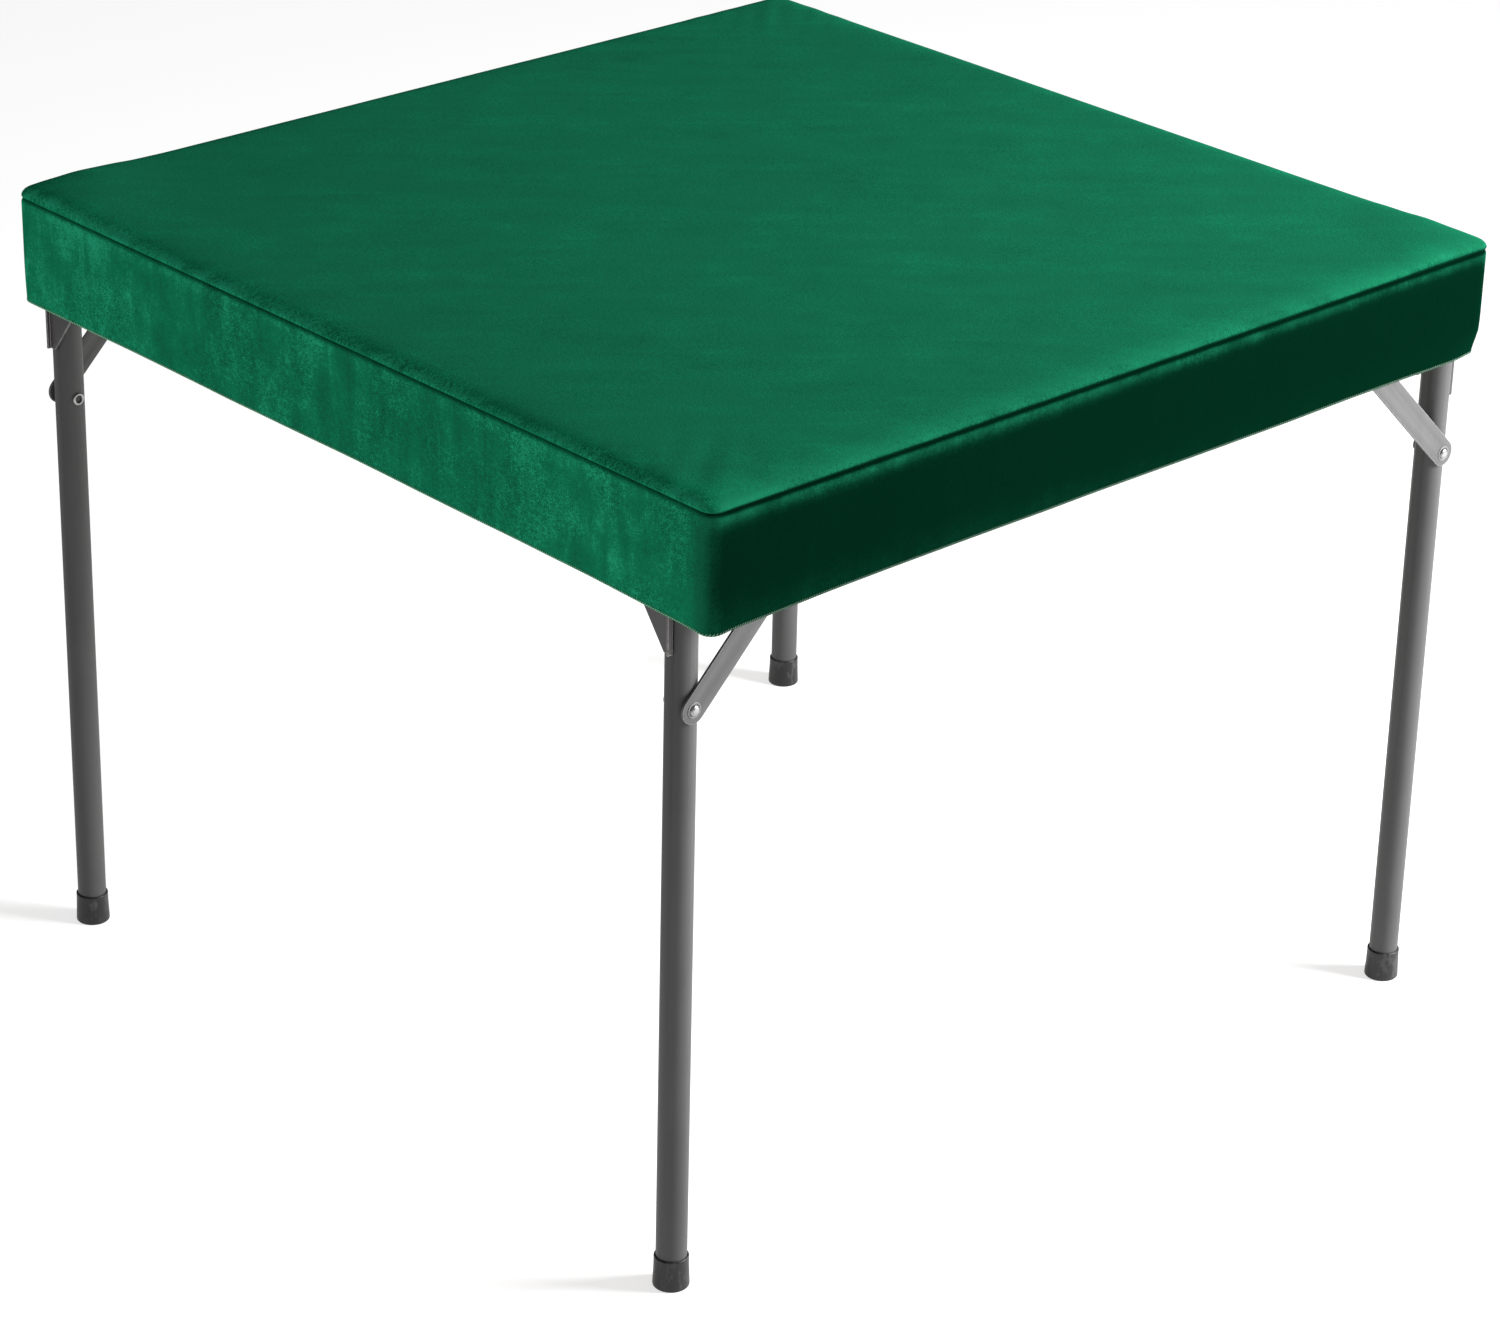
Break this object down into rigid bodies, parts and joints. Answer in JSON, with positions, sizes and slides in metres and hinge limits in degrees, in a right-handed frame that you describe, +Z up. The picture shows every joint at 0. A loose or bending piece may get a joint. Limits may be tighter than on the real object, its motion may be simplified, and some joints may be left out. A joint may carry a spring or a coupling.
{
  "type": "folding card table",
  "caption": "Square card table with a padded top in a fitted green velvet cover, on tubular steel legs that fold in under the top.",
  "frame": {"origin": "on the floor under the middle of the top", "axes": "+Z up, -Y towards the front edge, +X to the right along it"},
  "size_m": [0.88, 0.88, 0.705],
  "materials": {
    "velvet": "short-pile velvet, brushed in patches",
    "hem_elastic": "woven tape",
    "vinyl": "embossed vinyl",
    "foam": "open-cell foam",
    "board": "hardboard",
    "painted_steel": "satin grey enamel",
    "bracket_steel": "dark satin enamel",
    "bright_steel": "zinc plated",
    "rubber": "matt, scuffed"
  },
  "bodies": {
    "tabletop": {"cover_top_panel": "velvet", "cover_skirt": "velvet", "cover_hem_elastic": "hem_elastic", "vinyl_top_sheet": "vinyl", "foam_pad": "foam", "top_board": "board", "front_rail": "bracket_steel", "right_rail": "bracket_steel", "rear_rail": "bracket_steel", "left_rail": "bracket_steel", "front_left_apron_corner": "bracket_steel", "front_right_apron_corner": "bracket_steel", "rear_right_apron_corner": "bracket_steel", "rear_left_apron_corner": "bracket_steel", "front_left_mount_plate": "bracket_steel", "front_left_track_plate": "bracket_steel", "front_left_pivot_cheek": "bracket_steel", "front_left_stop_gusset": "bracket_steel", "front_left_pivot_pin": "bright_steel", "front_left_pivot_spacer": "bright_steel", "front_right_mount_plate": "bracket_steel", "front_right_track_plate": "bracket_steel", "front_right_pivot_cheek": "bracket_steel", "front_right_stop_gusset": "bracket_steel", "front_right_pivot_pin": "bright_steel", "front_right_pivot_spacer": "bright_steel", "rear_right_mount_plate": "bracket_steel", "rear_right_track_plate": "bracket_steel", "rear_right_pivot_cheek": "bracket_steel", "rear_right_stop_gusset": "bracket_steel", "rear_right_pivot_pin": "bright_steel", "rear_right_pivot_spacer": "bright_steel", "rear_left_mount_plate": "bracket_steel", "rear_left_track_plate": "bracket_steel", "rear_left_pivot_cheek": "bracket_steel", "rear_left_stop_gusset": "bracket_steel", "rear_left_pivot_pin": "bright_steel", "rear_left_pivot_spacer": "bright_steel"},
    "front_left_leg": {"front_left_leg_tube": "painted_steel", "front_left_foot_cap": "rubber", "front_left_strap_rivet": "bright_steel"},
    "front_left_strap": {"front_left_strap": "painted_steel", "front_left_track_pin": "bright_steel"},
    "front_right_leg": {"front_right_leg_tube": "painted_steel", "front_right_foot_cap": "rubber", "front_right_strap_rivet": "bright_steel"},
    "front_right_strap": {"front_right_strap": "painted_steel", "front_right_track_pin": "bright_steel"},
    "rear_right_leg": {"rear_right_leg_tube": "painted_steel", "rear_right_foot_cap": "rubber", "rear_right_strap_rivet": "bright_steel"},
    "rear_right_strap": {"rear_right_strap": "painted_steel", "rear_right_track_pin": "bright_steel"},
    "rear_left_leg": {"rear_left_leg_tube": "painted_steel", "rear_left_foot_cap": "rubber", "rear_left_strap_rivet": "bright_steel"},
    "rear_left_strap": {"rear_left_strap": "painted_steel", "rear_left_track_pin": "bright_steel"}
  },
  "joints": [
    {"name": "front_left_leg_fold", "type": "hinge", "parent": "tabletop", "child": "front_left_leg", "pos_m": [-0.411, -0.3777, 0.6641], "axis": [0, -1, 0], "range_deg": [0, 90]},
    {"name": "front_left_strap_swing", "type": "hinge", "parent": "front_left_leg", "child": "front_left_strap", "pos_m": [-0.411, -0.3777, 0.5141], "axis": [0, 1, 0], "range_deg": [0, 134.88]},
    {"name": "front_right_leg_fold", "type": "hinge", "parent": "tabletop", "child": "front_right_leg", "pos_m": [0.411, -0.4157, 0.6641], "axis": [0, 1, 0], "range_deg": [0, 90]},
    {"name": "front_right_strap_swing", "type": "hinge", "parent": "front_right_leg", "child": "front_right_strap", "pos_m": [0.411, -0.4157, 0.5141], "axis": [0, -1, 0], "range_deg": [0, 134.88]},
    {"name": "rear_right_leg_fold", "type": "hinge", "parent": "tabletop", "child": "rear_right_leg", "pos_m": [0.411, 0.3777, 0.6641], "axis": [0, 1, 0], "range_deg": [0, 90]},
    {"name": "rear_right_strap_swing", "type": "hinge", "parent": "rear_right_leg", "child": "rear_right_strap", "pos_m": [0.411, 0.3777, 0.5141], "axis": [0, -1, 0], "range_deg": [0, 134.88]},
    {"name": "rear_left_leg_fold", "type": "hinge", "parent": "tabletop", "child": "rear_left_leg", "pos_m": [-0.411, 0.4157, 0.6641], "axis": [0, -1, 0], "range_deg": [0, 90]},
    {"name": "rear_left_strap_swing", "type": "hinge", "parent": "rear_left_leg", "child": "rear_left_strap", "pos_m": [-0.411, 0.4157, 0.5141], "axis": [0, 1, 0], "range_deg": [0, 134.88]}
  ],
  "couplings": [
    {"joint": "front_left_strap_swing", "follows": "front_left_leg_fold", "ratio": 1.4981},
    {"joint": "front_right_strap_swing", "follows": "front_right_leg_fold", "ratio": 1.4981},
    {"joint": "rear_right_strap_swing", "follows": "rear_right_leg_fold", "ratio": 1.4981},
    {"joint": "rear_left_strap_swing", "follows": "rear_left_leg_fold", "ratio": 1.4981}
  ]
}
